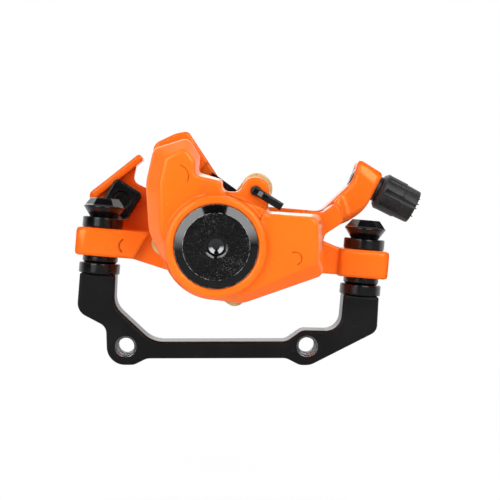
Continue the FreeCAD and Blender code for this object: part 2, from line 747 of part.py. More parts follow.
def outboard_housing():
    body = new_body("outboard_housing", "0", "0", "0")
    slab(body, "-lobe_back", ROTOR, [OUTBOARD_OUTLINE])
    slab(body, HUB_FACE, "-lobe_back - 6", circles=[("0", "0", "hub_radius")])
    front = "%s - ear_front" % BOLTS
    back = "%s + ear_front" % BOLTS
    slab(body, back, front, [ear_block("-mount_left - ear_end", "-18.4", "-22.8")])
    slab(body, back, "%s + 2.5" % front, [[
        ("-10", "2.5", "0"), ("-10", "-9.5", "0"), ("-24.5", "-6.1", "0"), ("-24.5", "1.2", "0")]])
    slab(body, back, front, [ear_block("%s + ear_end" % MOUNT_RIGHT, "34.8", "34.8")])
    slab(body, back, "%s + 1.6" % front, [[
        ("36", "1", "0"), ("36", "-6", "0"), ("20", "-6.2", "0"), ("20", "4", "0"),
        ("29.5", "3.2", "2")]])
    stop_face_x = "stop_x + (%s) * sin(stop_angle)"
    stop_face_z = "stop_z + (%s) * cos(stop_angle)"
    inner_x = "%s - stop_thick * cos(stop_angle)" % (stop_face_x % "stop_up_inside")
    inner_z = "%s + stop_thick * sin(stop_angle)" % (stop_face_z % "stop_up_inside")
    arm = [
        ("24", "3", "0"),
        ("24", "11.2", "0"),
        ("29.3", "11.2", "4"),
        ("37.5", "20.3", "10"),
        (inner_x, inner_z, "1.1"),
        (stop_face_x % "stop_up", stop_face_z % "stop_up", "1.2"),
        (stop_face_x % "-stop_down", stop_face_z % "-stop_down", "11.5"),
        ("37.4", "9.1", "6"),
        ("30.5", "5.4", "3"),
        ("28.5", "-3", "0"),
    ]
    slab(body, "stop_y + stop_width / 2", "stop_y - stop_width / 2", [arm])
    root = [("24", "-3", "0"), ("24", "11", "0"), ("29", "11", "2"), ("33", "14.6", "1.4"),
            ("34.9", "8.8", "1.6"), ("30", "5", "2"), ("28.5", "-3", "0")]
    slab(body, "stop_y - stop_width / 2 + 2", "-lobe_back - 9", [root])
    cut_slab(body, OUTER_WALL, CUP_BACK, circles=[("0", "0", "bore_radius")])
    cut_slab(body, OUTER_WALL, "%s + 1" % HUB_FACE, circles=[("0", "0", "shaft_radius + 0.4")])
    cut_pad_room(body, ROTOR, OUTER_WALL, ROTOR, OUTER_PLATE)
    cut_slab(body, ROTOR, "-lobe_back + 1",
             circles=[(x, z, "body_bolt_radius") for x, z in body_bolt_places()],
             turn=PAD_TURN)
    cut_slab(body, "-lobe_back - body_bolt_head_height", "%s + 1" % HUB_FACE,
             circles=[(x, z, "body_bolt_head + 0.2") for x, z in body_bolt_places()],
             turn=PAD_TURN)
    cut_slab(body, ROTOR, "-lobe_back + 1",
             circles=[("0", "pad_pin_reach", "pad_pin_radius + bore_clearance")],
             turn=PAD_TURN)
    half = "ear_slot_half"
    long = "ear_slot_half + ear_slide + 0.3"
    slot = [(half, "-(%s)" % long, "ear_slot_half - 0.05"), (half, long, "ear_slot_half - 0.05"),
            ("-" + half, long, "ear_slot_half - 0.05"),
            ("-" + half, "-(%s)" % long, "ear_slot_half - 0.05")]
    for mount in ("-mount_left", MOUNT_RIGHT):
        cut_down(body, "ear_top + 1", "-ear_bottom - 1", [slot], at=(mount, BOLTS))
    turned(body, "XZ_Plane",
           [("0", "-stop_thick - 3", "0"), ("barrel_radius", "-stop_thick - 3", "0"),
            ("barrel_radius", "3", "0"), ("0", "3", "0")],
           cut=True, at=("stop_x", "stop_z"), depth="stop_y", turn="-90 - stop_angle")
    return body


def body_bolts():
    def bolt(body):
        head = "-lobe_back"
        seat = "-lobe_back - body_bolt_head_height"
        turned(body, "XY_Plane", [
            ("0", head, "0"),
            ("body_bolt_head", head, "soft_round"),
            ("body_bolt_head", seat, "0"),
            ("body_bolt_radius - thread_clearance", seat, "0"),
            ("body_bolt_radius - thread_clearance", "%s - body_bolt_engagement" % ROTOR, "soft_round"),
            ("0", "%s - body_bolt_engagement" % ROTOR, "0"),
        ])
        cut_slab(body, "%s - small_socket_depth" % head, head, [hexagon("small_socket")])
        return body
    pair = []
    for side, name in ((1, "right"), (-1, "left")):
        x = "(body_bolt_reach * cos(pad_angle) + %d * body_bolt_side * sin(pad_angle))" % side
        z = "(body_bolt_reach * sin(pad_angle) - %d * body_bolt_side * cos(pad_angle))" % side
        pair.append(bolt(new_body("body_bolt_" + name, x, "0", z)))
    group = doc.addObject("Part::Compound", "body_bolts")
    group.Label = "body_bolts"
    group.Links = pair
    return group


def pad_adjuster():
    body = new_body("pad_adjuster", "0", "0", "0")
    front = "-ring_face - adjuster_proud"
    back = "%s + adjuster_thick" % front
    seal = "%s + 3" % front
    turned(body, "XY_Plane", [
        ("0", front, "0"),
        ("adjuster_radius - adjuster_bevel", front, "0"),
        ("adjuster_radius", "%s + 0.8" % front, "0"),
        ("adjuster_radius", "%s - 0.6" % seal, "0"),
        ("adjuster_radius - 1.2", "%s - 0.6" % seal, "0"),
        ("adjuster_radius - 1.2", "%s + 0.6" % seal, "0"),
        ("adjuster_radius", "%s + 0.6" % seal, "0"),
        ("adjuster_radius", back, "0.3"),
        ("adjuster_core", back, "0"),
        ("adjuster_core", INNER_BACK, "0.5"),
        ("0", INNER_BACK, "0"),
    ])
    turned(body, "XY_Plane", [
        ("0", "%s - 0.1" % front, "0"),
        ("socket_ring", "%s - 0.1" % front, "0"),
        ("socket_ring - 0.5", "%s + 0.6" % front, "0"),
        ("0", "%s + 0.6" % front, "0"),
    ], cut=True)
    cut_slab(body, front, "%s + 4.5" % front, [hexagon("socket_flats")])
    return body


def adjuster_seal():
    body = new_body("adjuster_seal", "0", "0", "0")
    middle = "-ring_face - adjuster_proud + 3"
    inner = "adjuster_radius - 1.15"
    outer = "adjuster_radius"
    turned(body, "XY_Plane", [
        (inner, "%s - 0.55" % middle, "0.5"), (outer, "%s - 0.55" % middle, "0.5"),
        (outer, "%s + 0.55" % middle, "0.5"), (inner, "%s + 0.55" % middle, "0.5")])
    return body


def pad_piston():
    body = new_body("pad_piston", "0", "0", "0")
    turned(body, "XY_Plane", [
        ("0", OUTER_BACK, "0"),
        ("bore_radius - bore_clearance", OUTER_BACK, "soft_round"),
        ("bore_radius - bore_clearance", PISTON_BACK, "soft_round"),
        ("0", PISTON_BACK, "0"),
    ])
    return body


BALL_Y = "(%s - ball_seat + ball_radius)" % SPINDLE_BACK


def ramp_spindle():
    body = new_body("ramp_spindle", "0", "0", "0")
    turned(body, "XY_Plane", [
        ("0", PISTON_BACK, "0"),
        ("bore_radius - 0.3", PISTON_BACK, "edge_round"),
        ("bore_radius - 0.3", SPINDLE_BACK, "edge_round"),
        ("shaft_radius", SPINDLE_BACK, "0"),
        ("shaft_radius", LEVER_FACE, "0"),
        ("lever_bore", LEVER_FACE, "0"),
        ("lever_bore", "%s - 0.3" % LEVER_BACK, "edge_round"),
        ("0", "%s - 0.3" % LEVER_BACK, "0"),
    ])
    for side in (1, -1):
        flat = [("-6", "%d * lever_flat" % side, "0"), ("6", "%d * lever_flat" % side, "0"),
                ("6", "%d * (lever_flat + 4)" % side, "0"),
                ("-6", "%d * (lever_flat + 4)" % side, "0")]
        cut_slab(body, LEVER_FACE, LEVER_BACK, [flat])
    cut_slab(body, "%s - 9" % LEVER_BACK, LEVER_BACK, circles=[("0", "0", "lever_bolt_radius")])
    for number in range(3):
        angle = 90 + 120 * number
        reach = "ball_circle * cos(%d)" % angle
        rise = "ball_circle * sin(%d)" % angle
        pocket = new_sketch(body, "XY_Plane", rise, (reach, BALL_Y))
        half_disc(pocket, "ball_radius + seat_clearance")
        groove = body.newObject("PartDesign::Groove", "ball_pocket")
        groove.Profile = pocket
        groove.ReferenceAxis = (pocket, ["V_Axis"])
        groove.Angle = 360
    return body


def half_disc(sketch, radius):
    """Half a disc on the sketch's vertical axis, for turning a ball or its seat."""
    size = value(radius)
    round_side = Part.ArcOfCircle(Part.Circle(Vector(0, 0, 0), Vector(0, 0, 1), size),
                                  -math.pi / 2, math.pi / 2)
    arc = sketch.addGeometry(round_side, False)
    line = sketch.addGeometry(Part.LineSegment(Vector(0, size, 0), Vector(0, -size, 0)), False)
    rules = [
        Sketcher.Constraint("Coincident", arc, 2, line, 1),
        Sketcher.Constraint("Coincident", line, 2, arc, 1),
        Sketcher.Constraint("Coincident", arc, 3, -1, 1),
        Sketcher.Constraint("Vertical", line),
        Sketcher.Constraint("PointOnObject", line, 1, -2),
        Sketcher.Constraint("Radius", arc, size),
    ]
    bind_rules(sketch, rules, [(5, radius)])


def ramp_balls():
    balls = []
    for number in range(3):
        angle = 90 + 120 * number
        body = new_body("ramp_ball_%d" % (number + 1),
                        "ball_circle * cos(%d)" % angle, BALL_Y, "ball_circle * sin(%d)" % angle)
        sketch = new_sketch(body, "XY_Plane")
        half_disc(sketch, "ball_radius")
        ball = body.newObject("PartDesign::Revolution", "ball")
        ball.Profile = sketch
        ball.ReferenceAxis = (sketch, ["V_Axis"])
        ball.Angle = 360
        balls.append(body)
    group = doc.addObject("Part::Compound", "ramp_balls")
    group.Label = "ramp_balls"
    group.Links = balls
    return group


def ramp_path(angle):
    """The ball's path in the fixed cup: an arc about the piston axis that moves inwards."""
    turns = value("lever_turn") / 360
    rise = value("ramp_rise")
    helix = Part.makeHelix(rise / turns, rise, value("ball_circle"), 0, True)
    # the helix climbs along Z as it turns; lay it along -Y, clockwise as seen from there
    lay = Placement(Vector(0, value(BALL_Y), 0), Rotation(Vector(1, 0, 0), 90))
    start = Placement(Vector(0, 0, 0), Rotation(Vector(0, 0, 1), angle))
    helix.Placement = lay.multiply(start)
    return helix


def ramp_cup():
    body = new_body("ramp_cup_blank", "0", "0", "0")
    turned(body, "XY_Plane", [
        ("shaft_radius + bore_clearance", CUP_FACE, "edge_round"),
        ("bore_radius - thread_clearance", CUP_FACE, "edge_round"),
        ("bore_radius - thread_clearance", CUP_BACK, "edge_round"),
        ("shaft_radius + bore_clearance", CUP_BACK, "edge_round"),
    ])
    doc.recompute()
    radius = value("ball_radius + ball_clearance")
    grooves = []
    for number in range(3):
        path = ramp_path(90 + 120 * number)
        edge = path.Edges[0]
        ends = [edge.valueAt(edge.FirstParameter), edge.valueAt(edge.LastParameter)]
        along = edge.tangentAt(edge.FirstParameter)
        section = Part.Wire(Part.makeCircle(radius, ends[0], along))
        tube = Part.Wire(path.Edges).makePipeShell([section], True, True)
        groove = tube.fuse([Part.makeSphere(radius, end) for end in ends])
        grooves.append(groove)
    tool = doc.addObject("Part::Feature", "ramp_grooves")
    tool.Shape = Part.makeCompound(grooves)
    tool.Placement = body.Placement
    cup = doc.addObject("Part::Cut", "ramp_cup")
    cup.Label = "ramp_cup"
    cup.Base = body
    cup.Tool = tool
    return cup


def dust_seal():
    body = new_body("dust_seal", "0", "0", "0")
    inner = "shaft_radius + 0.15"
    turned(body, "XY_Plane", [
        (inner, HUB_FACE, "0"),
        ("shaft_radius + seal_reach", HUB_FACE, "0.4"),
        ("shaft_radius + seal_reach", "%s + 1.4" % HUB_FACE, "0.4"),
        ("shaft_radius + 1.1", "%s + 2" % HUB_FACE, "0.3"),
        ("shaft_radius + 1.7", "%s + seal_height - 0.4" % HUB_FACE, "0.5"),
        (inner, "%s + seal_height" % HUB_FACE, "0.3"),
    ])
    return body


def return_spring():
    """A torsion spring of three turns with two tangent tails."""
    radius = value("spring_radius")
    pitch = value("spring_pitch")
    wire = value("spring_wire")
    tail = value("spring_tail")
    base = value(HUB_FACE) + wire / 2 + 0.15
    quarters = 4 * 3

    def on_coil(quarter):
        angle = math.radians(90 * quarter)
        rise = pitch * quarter / 4
        return Vector(radius * math.cos(angle), base + rise, radius * math.sin(angle))

    heading = Vector(0, 0, 1)
    start = on_coil(0) - heading * tail
    edges = [Part.LineSegment(start, on_coil(0))]
    for step in range(quarters):
        edges.append(Part.Arc(on_coil(step), on_coil(step + 0.5), on_coil(step + 1)))
    edges.append(Part.LineSegment(on_coil(quarters), on_coil(quarters) + heading * tail))
    path = Part.Wire([edge.toShape() for edge in edges])
    section = Part.Wire(Part.makeCircle(wire / 2, start, heading))
    tube = path.makePipeShell([section], True, False)
    samples = [on_coil(step / 8) for step in range(8 * quarters + 1)]
    gaps = [(a - b).Length for i, a in enumerate(samples) for b in samples[i + 16:]]
    print("spring volume against wire times length:",
          round(tube.Volume, 2), round(path.Length * math.pi * wire ** 2 / 4, 2))
    print("spring least gap to itself:", round(min(gaps) - wire, 2))
    spring = doc.addObject("Part::Feature", "return_spring")
    spring.Label = "return_spring"
    spring.Shape = tube
    spring.Placement = caliper_placement()
    return spring


def caliper_placement():
    return Placement(Vector(value("piston_x"), 0, value("piston_height")),
                     Rotation(Vector(0, 1, 0), value("tilt")))


def pad_spring():
    """A bent leaf between the pads: a bridge over the rotor with a leg on each plate."""
    body = new_body("pad_spring", "0", "0", "0", "90 - pad_angle")
    inner = "%s + 0.1" % INNER_PLATE
    outer = "%s - 0.1" % OUTER_PLATE
    slab(body, outer, inner, [[
        ("-12.3", "15.2", "0"), ("11", "15.2", "0"), ("11", "14.8", "0"), ("-12.3", "14.8", "0")]])
    for front, back in ((inner, "%s + 0.4" % inner), ("%s - 0.4" % outer, outer)):
        slab(body, back, front, [[
            ("-12.3", "15.2", "0"), ("11", "15.2", "0"), ("9.6", "11", "0"), ("4.6", "11", "0"),
            ("3.4", "13.4", "0"), ("-3.4", "13.4", "0"), ("-4.6", "11", "0"), ("-9.6", "11", "0")]])
    return body


def pad_pin():
    body = new_body("pad_pin", "0", "0", "0")
    front = "-ear_face - pin_leg_thick - 0.7"
    slab(body, "-lobe_back", front, circles=[(PIN_X, PIN_Z, "pad_pin_radius")])
    slab(body, "-lobe_back + 1", "-lobe_back",
         circles=[(PIN_X, PIN_Z, "pad_pin_radius + 0.8")])
    near = "-pad_pin_radius"
    far = "pin_leg_length"
    half = "pin_leg_half"
    leg = [(near, "-" + half, "1"), (far, "-" + half, "0.2"), (far, half, "0.2"), (near, half, "1")]
    slab(body, "%s + pin_leg_thick" % front, front, [leg], at=(PIN_X, PIN_Z),
         turn="-pin_leg_turn")
    return body


def actuating_lever():
    body = new_body("actuating_lever", "0", "0", "0")
    slab(body, LEVER_BACK, LEVER_FACE, circles=[("0", "0", "lever_hub")])
    arm = [
        ("2", "8.2", "0"),
        ("-2", "-8", "0"),
        ("-18", "-1.5", "10"),
        ("-34.5", "3.2", "5"),
        ("-38.4", "10.6", "2"),
        ("-24.6", "23.3", "0.8"),
        ("-25.7", "15.2", "2.2"),
        ("-20.5", "13.2", "4"),
    ]
    slab(body, LEVER_BACK, LEVER_FACE, [arm])
    rim = [("-18.1", "0", "0"), ("0", "0", "0.8"), ("0", "-rim_thick", "0.8"),
           ("-18.1", "-rim_thick", "0")]
    slab(body, "%s + rim_outer" % LEVER_BACK, "%s - rim_inner" % LEVER_FACE, [rim],
         at=("-24.4", "23.4"), turn="43.2")
    bore = [("-lever_bore", "-lever_flat - 0.03", "0"), ("lever_bore", "-lever_flat - 0.03", "0"),
            ("lever_bore", "lever_flat + 0.03", "0"), ("-lever_bore", "lever_flat + 0.03", "0")]
    cut_slab(body, LEVER_FACE, LEVER_BACK, [bore])
    cut_slab(body, LEVER_FACE, LEVER_BACK,
             circles=[("-clamp_x", "clamp_z", "clamp_bolt_radius + 0.1")])
    return body


def lever_washer():
    body = new_body("lever_washer", "0", "0", "0")
    slab(body, "%s + lever_washer_thick" % LEVER_BACK, LEVER_BACK,
         circles=[("0", "0", "lever_washer_radius"), ("0", "0", "lever_bolt_radius + 0.2")])
    return body


def lever_bolt():
    body = new_body("lever_bolt", "0", "0", "0")
    seat = "%s + lever_washer_thick" % LEVER_BACK
    top = "%s + lever_bolt_head_height" % seat
    end = "%s - lever_bolt_length" % LEVER_BACK
    shank = "lever_bolt_radius - thread_clearance"
    turned(body, "XY_Plane", [
        ("0", top, "0"),
        ("lever_bolt_head - 1.6", top, "0.8"),
        ("lever_bolt_head", "%s + 1.6" % seat, "0.6"),
        ("lever_bolt_head", seat, "0"),
        (shank, seat, "0"),
        (shank, end, "edge_round"),
        ("0", end, "0"),
    ])
    cut_slab(body, "%s - small_socket_depth + 0.4" % top, top, [hexagon("small_socket")])
    return body


def cable_clamp_block():
    body = new_body("cable_clamp_block", "-clamp_x", "0", "clamp_z", "clamp_turn")
    front = "%s - clamp_thick" % LEVER_FACE
    slab(body, LEVER_FACE, front, [square("clamp_half", "1")])
    slab(body, "%s + clamp_plate_thick" % front, front, [square("clamp_plate_half", "1.4")])
    bored = cut_slab(body, front, LEVER_FACE, circles=[("0", "0", "clamp_bolt_radius")])
    outer_rim = flat_at(front, "clamp_bolt_radius + 0.5")
    rounded_edges(body, bored, "clamp_plate_bevel", outer_rim, "Chamfer")
    return body


def cable_clamp_bolt():
    body = new_body("cable_clamp_bolt", "-clamp_x", "0", "clamp_z")
    tip = "%s - clamp_thick + 0.8" % LEVER_FACE
    top = "%s + clamp_bolt_head_height" % LEVER_BACK
    shank = "clamp_bolt_radius - thread_clearance"
    turned(body, "XY_Plane", [
        ("0", top, "0"),
        ("clamp_bolt_head", top, "0.5"),
        ("clamp_bolt_head", LEVER_BACK, "0"),
        (shank, LEVER_BACK, "0"),
        (shank, tip, "thread_chamfer"),
        ("0", tip, "0"),
    ])
    cut_slab(body, "%s - small_socket_depth + 0.2" % top, top, [hexagon("small_socket")])
    return body


def on_cable_stop(label):
    """A body whose Z axis is the barrel's, with its origin on the cable stop's face."""
    return new_body(label, "stop_x", "stop_y", "stop_z", "90 + stop_angle")


def lock_collar():
    body = on_cable_stop("lock_collar")
    bore = "barrel_radius + thread_clearance"
    turned(body, "XZ_Plane", [
        (bore, "0", "0"), ("collar_radius", "0", "0.3"),
        ("collar_radius", "collar_length", "0.3"), (bore, "collar_length", "0")])
    return body


def barrel_screw():
    body = on_cable_stop("barrel_screw")
    end = "collar_length + knob_length - ferrule_length - 0.6"
    shank = "barrel_radius - thread_clearance"
    turned(body, "XZ_Plane", [
        ("cable_hole", "-stop_thick + 0.6", "0"),
        (shank, "-stop_thick + 0.6", "thread_chamfer"),
        (shank, end, "0"),
        ("cable_hole", end, "0"),
    ])
    return body


def barrel_knob():
    body = on_cable_stop("barrel_knob")
    near = "collar_length"
    far = "collar_length + knob_length"
    step = "%s + knob_length * knob_step" % near
    seat = "%s - ferrule_length - 0.6" % far
    turned(body, "XZ_Plane", [
        ("barrel_radius", near, "0"),
        ("knob_radius - knob_chamfer", near, "0"),
        ("knob_radius", "%s + knob_chamfer" % near, "0"),
        ("knob_radius - 0.05", step, "0"),
        ("knob_end_radius + 0.2", "%s + 0.2" % step, "0"),
        ("knob_end_radius", far, "soft_round"),
        ("ferrule_radius + bore_clearance", far, "0"),
        ("ferrule_radius + bore_clearance", seat, "0"),
        ("barrel_radius", seat, "0"),
    ])
    doc.recompute()
    flute = new_sketch(body, "XY_Plane", far)
    circle(flute, "knob_radius + flute_radius - flute_depth", "0", "flute_radius")
    cut = body.newObject("PartDesign::Pocket", "flute")
    cut.Profile = flute
    cut.setExpression("Length", linked("knob_length - 1.6"))
    round_copies(body, cut, 8)
    return body


def housing_ferrule():
    body = on_cable_stop("housing_ferrule")
    far = "collar_length + knob_length"
    seat = "%s - ferrule_length" % far
    turned(body, "XZ_Plane", [
        ("ferrule_bore", far, "0"),
        ("ferrule_radius", far, "0.2"),
        ("ferrule_radius", "%s - 0.5" % seat, "0.2"),
        ("1.2", "%s - 0.5" % seat, "0"),
        ("1.2", seat, "0"),
        ("ferrule_bore", seat, "0"),
    ])
    return body


NODES = [
    adapter_bracket(),
    with_twin("mount_bolts", mount_bolt),
    with_twin("upper_cup_washers", upper_cup_washer),
    with_twin("lower_convex_washers", convex_washer),
    with_twin("lower_cup_washers", lower_cup_washer),
    outboard_housing(),
    inboard_housing(),
    body_bolts(),
    pad_pin(),
    pad_spring(),
    ramp_cup(),
    dust_seal(),
    return_spring(),
    lock_collar(),
    backing_plate("inboard_backing_plate", INNER_BACK, INNER_PLATE),
    pad_lining("inboard_lining", INNER_PLATE, INNER_LINING),
    pad_adjuster(),
    adjuster_seal(),
    backing_plate("outboard_backing_plate", OUTER_PLATE, OUTER_BACK),
    pad_lining("outboard_lining", OUTER_LINING, OUTER_PLATE),
    pad_piston(),
    ramp_spindle(),
    ramp_balls(),
    actuating_lever(),
    lever_washer(),
    lever_bolt(),
    cable_clamp_block(),
    cable_clamp_bolt(),
    housing_ferrule(),
    barrel_screw(),
    barrel_knob(),
]

doc.recompute()
for item in doc.Objects:
    if "Invalid" in item.State or "Error" in item.State:
        raise RuntimeError("%s failed: %s" % (item.Name, item.State))
for node in NODES:
    if node.Shape.isNull() or not node.Shape.isValid():
        raise RuntimeError("%s has no valid shape" % node.Label)
os.makedirs("parts", exist_ok=True)
for node in NODES:
    node.Shape.exportStep("parts/%s.step" % node.Label)
    print(node.Label, len(node.Shape.Solids), round(node.Shape.Volume, 1))
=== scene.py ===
import json
import math

import bmesh
import bpy
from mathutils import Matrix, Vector


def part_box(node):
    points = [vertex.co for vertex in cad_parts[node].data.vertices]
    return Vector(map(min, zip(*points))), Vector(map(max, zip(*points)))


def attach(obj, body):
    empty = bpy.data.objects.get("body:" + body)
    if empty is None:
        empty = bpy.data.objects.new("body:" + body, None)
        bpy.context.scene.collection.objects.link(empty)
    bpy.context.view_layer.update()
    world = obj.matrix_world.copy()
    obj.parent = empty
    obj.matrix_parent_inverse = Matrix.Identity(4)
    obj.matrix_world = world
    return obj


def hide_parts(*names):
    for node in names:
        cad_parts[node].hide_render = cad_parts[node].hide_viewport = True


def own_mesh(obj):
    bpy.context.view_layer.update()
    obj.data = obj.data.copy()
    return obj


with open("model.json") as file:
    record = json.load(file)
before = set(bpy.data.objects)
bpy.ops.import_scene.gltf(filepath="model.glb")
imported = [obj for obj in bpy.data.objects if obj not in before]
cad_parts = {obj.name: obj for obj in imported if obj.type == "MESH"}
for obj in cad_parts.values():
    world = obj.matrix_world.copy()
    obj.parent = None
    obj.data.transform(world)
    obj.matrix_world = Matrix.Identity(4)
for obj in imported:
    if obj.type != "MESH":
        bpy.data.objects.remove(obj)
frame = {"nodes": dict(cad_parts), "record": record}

MM = 0.001
TURN = 2 * math.pi
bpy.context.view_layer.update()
scene = bpy.context.scene

# The piston axis and the caliper's tilt about it.
PISTON = Vector((0.0, 0.0, 29.1)) * MM
TILT = math.radians(4.8)

# The bracket's two frame holes, with the thread that is cut in them.
FRAME_HOLES = (-25.5 * MM, 25.5 * MM)
FRAME_HOLE_RADIUS = 2.5 * MM
BRACKET_THICK = 10.0 * MM
THREAD_PITCH = 1.0 * MM
THREAD_SUNK = 0.02 * MM
THREAD_TALL = 0.22 * MM

# The black disc that adjusts the inboard pad, in millimetres of the caliper's frame: the radii
# of its flat, of its rim, of its hex socket's lip and of the drilled bottom, and the station
# along Y from which the socket is bare metal.
DISC_FLAT_RADIUS = 8.75
DISC_RIM_RADIUS = 10.92
SOCKET_LIP_RADIUS = 3.2
SOCKET_DRILL_RADIUS = 2.0
SOCKET_BARE_FROM = -37.4


def on_caliper(x, y, z):
    """A point of the caliper's own frame, in millimetres, as a point of the row frame."""
    return Vector((x * math.cos(TILT) + z * math.sin(TILT), y,
                   -x * math.sin(TILT) + z * math.cos(TILT))) * MM + PISTON


def linear(code):
    """A colour written as on screen, as the shader wants it."""
    parts = [int(code[i:i + 2], 16) / 255 for i in (1, 3, 5)]
    return [p / 12.92 if p <= 0.04045 else ((p + 0.055) / 1.055) ** 2.4 for p in parts] + [1.0]


def grey(value):
    """One value as a colour, for a mix that feeds a plain number."""
    return [value] * 3 + [1]


class Nodes:
    """A node tree, with short calls for the nodes it is built of."""

    def __init__(self, tree):
        self.tree = tree

    def node(self, kind, settings=None, **inputs):
        """A new node. An input is given by its name, or by its number after an underscore."""
        made = self.tree.nodes.new("ShaderNode" + kind)
        for key, setting in (settings or {}).items():
            setattr(made, key, setting)
        for key, given in inputs.items():
            self.give(made.inputs[int(key[1:])] if key[0] == "_" else made.inputs[key], given)
        return made

    def give(self, socket, given):
        """Links a socket to another one, or sets its value."""
        if isinstance(given, bpy.types.NodeSocket):
            self.tree.links.new(given, socket)
        else:
            socket.default_value = given

    def math(self, operation, a, b=0.0, clamp=False):
        settings = {"operation": operation, "use_clamp": clamp}
        return self.node("Math", settings, _0=a, _1=b).outputs[0]

    def band(self, fac, low, high, start=0.0, end=1.0):
        """Start below low, end above high, and a smooth step between."""
        settings = {"interpolation_type": "SMOOTHSTEP"}
        made = self.node("MapRange", settings, _0=fac, _1=low, _2=high, _3=start, _4=end)
        return made.outputs[0]

    def scaled(self, fac, part):
        """A factor times a plain number."""
        return self.math("MULTIPLY", fac, part)

    def axis(self, vector, name):
        """One of a vector's parts, X, Y or Z."""
        return self.node("SeparateXYZ", Vector=vector).outputs[name]


class Shader(Nodes):
    """A material's node tree."""

    def __init__(self, name):
        self.material = bpy.data.materials.new(name)
        self.material.use_nodes = True
        super().__init__(self.material.node_tree)
        self.surface = self.tree.nodes["Principled BSDF"]
        self.place = self.node("TexCoord").outputs["Object"]

    def set(self, **inputs):
        """Sets the surface's inputs; an underscore in a name stands for a space."""
        for key, given in inputs.items():
            self.give(self.surface.inputs[key.replace("_", " ")], given)

    def noise(self, scale, detail=3.0, rough=0.5, vector=None):
        made = self.node("TexNoise", Vector=vector or self.place, Scale=scale, Detail=detail,
                         Roughness=rough)
        return made.outputs["Fac"]

    def mix(self, fac, a, b):
        made = self.node("Mix", {"data_type": "RGBA"}, _0=fac, _6=a, _7=b)
        return made.outputs[2]

    def specks(self, scale, size, share):
        """Small dots: one where a cell's own random value is under share."""
        cells = self.node("TexVoronoi", Vector=self.place, Scale=scale)
        chosen = self.node("SeparateColor", Color=cells.outputs["Color"]).outputs[0]
        near = self.band(cells.outputs["Distance"], size * 0.5, size, 1.0, 0.0)
        return self.math("MULTIPLY", near, self.math("LESS_THAN", chosen, share))

    def bump(self, height, strength, distance, normal=None):
        """The shading normal over a height, with distance in millimetres."""
        made = self.node("Bump", Height=height, Strength=strength, Distance=distance * MM)
        if normal is not None:
            self.give(made.inputs["Normal"], normal)
        return made.outputs["Normal"]

    def soft_edges(self, radius):
        """The shading normal with edges rounded to a radius in millimetres."""
        return self.node("Bevel", {"samples": 6}, Radius=radius * MM).outputs["Normal"]

    def reach(self, centre, axis="Y"):
        """Distance from a line through centre along a row axis."""
        moved = self.node("VectorMath", {"operation": "SUBTRACT"}, _0=self.place, _1=centre)
        flat = [0.0 if name == axis else 1.0 for name in "XYZ"]
        held = self.node("VectorMath", {"operation": "MULTIPLY"}, _0=moved.outputs[0], _1=flat)
        return self.node("VectorMath", {"operation": "LENGTH"}, _0=held.outputs[0]).outputs["Value"]


def orange_paint():
    s = Shader("orange_paint")
    drift = s.band(s.noise(45, 2), 0.35, 0.7)
    colour = s.mix(drift, linear("#FF701A"), linear("#FA6916"))
    # painted shade: the paint is darker and redder on the outboard side, away from the wheel, where
    # the lever lies in shade
    painted_shade_outboard = s.band(s.axis(s.place, "Y"), 1.5 * MM, 8 * MM)
    colour = s.mix(painted_shade_outboard, colour, linear("#EE580C"))
    colour = s.mix(s.scaled(s.specks(1100, 0.2, 0.02), 0.25), colour, linear("#FFC79A"))
    peel = s.math("ADD", s.noise(700, 2), s.scaled(s.noise(2600, 2), 0.35))
    edges = s.soft_edges(1.4)
    s.set(Base_Color=colour, Roughness=s.band(s.noise(160, 3), 0.3, 0.7, 0.1, 0.17),
          Normal=s.bump(peel, 0.08, 0.1, edges), Coat_Normal=edges)
    s.set(Specular_IOR_Level=1.0, Specular_Tint=linear("#FFCC88"), Coat_Weight=0.08,
          Coat_Roughness=0.05)
    return s.material


def black_aluminium():
    """Black anodised plate, with bare metal inside the two frame holes."""
    s = Shader("black_aluminium")
    rings = [s.band(s.reach((x, 0.0, 0.0)), 2.92 * MM, 3.0 * MM, 1.0, 0.0) for x in FRAME_HOLES]
    near_hole = s.math("MAXIMUM", *rings)
    smudge = s.band(s.noise(70, 4), 0.45, 0.75)
    black = s.mix(smudge, linear("#0D0D0F"), linear("#151517"))
    black = s.mix(s.scaled(s.specks(700, 0.16, 0.03), 0.3), black, linear("#77777A"))
    edges = s.soft_edges(0.6)
    s.set(Base_Color=s.mix(near_hole, black, linear("#B9B9BC")), Metallic=near_hole,
          Roughness=s.mix(near_hole, grey(0.36), grey(0.3)),
          Normal=s.bump(s.noise(3800, 2), 0.12, 0.05, edges), Coat_Normal=edges)
    s.set(Specular_IOR_Level=0.25, Coat_Weight=0.25, Coat_Roughness=0.1)
    return s.material


def black_steel():
    s = Shader("black_steel")
    smudge = s.band(s.noise(220, 4), 0.4, 0.75)
    edges = s.soft_edges(0.5)
    s.set(Base_Color=s.mix(smudge, linear("#07070A"), linear("#0F0F12")),
          Roughness=s.band(s.noise(500, 3), 0.3, 0.75, 0.16, 0.3),
          Normal=s.bump(s.noise(1800, 2), 0.06, 0.05, edges), Coat_Normal=edges)
    s.set(Coat_Weight=0.5, Coat_Roughness=0.06, Coat_IOR=1.4)
    return s.material


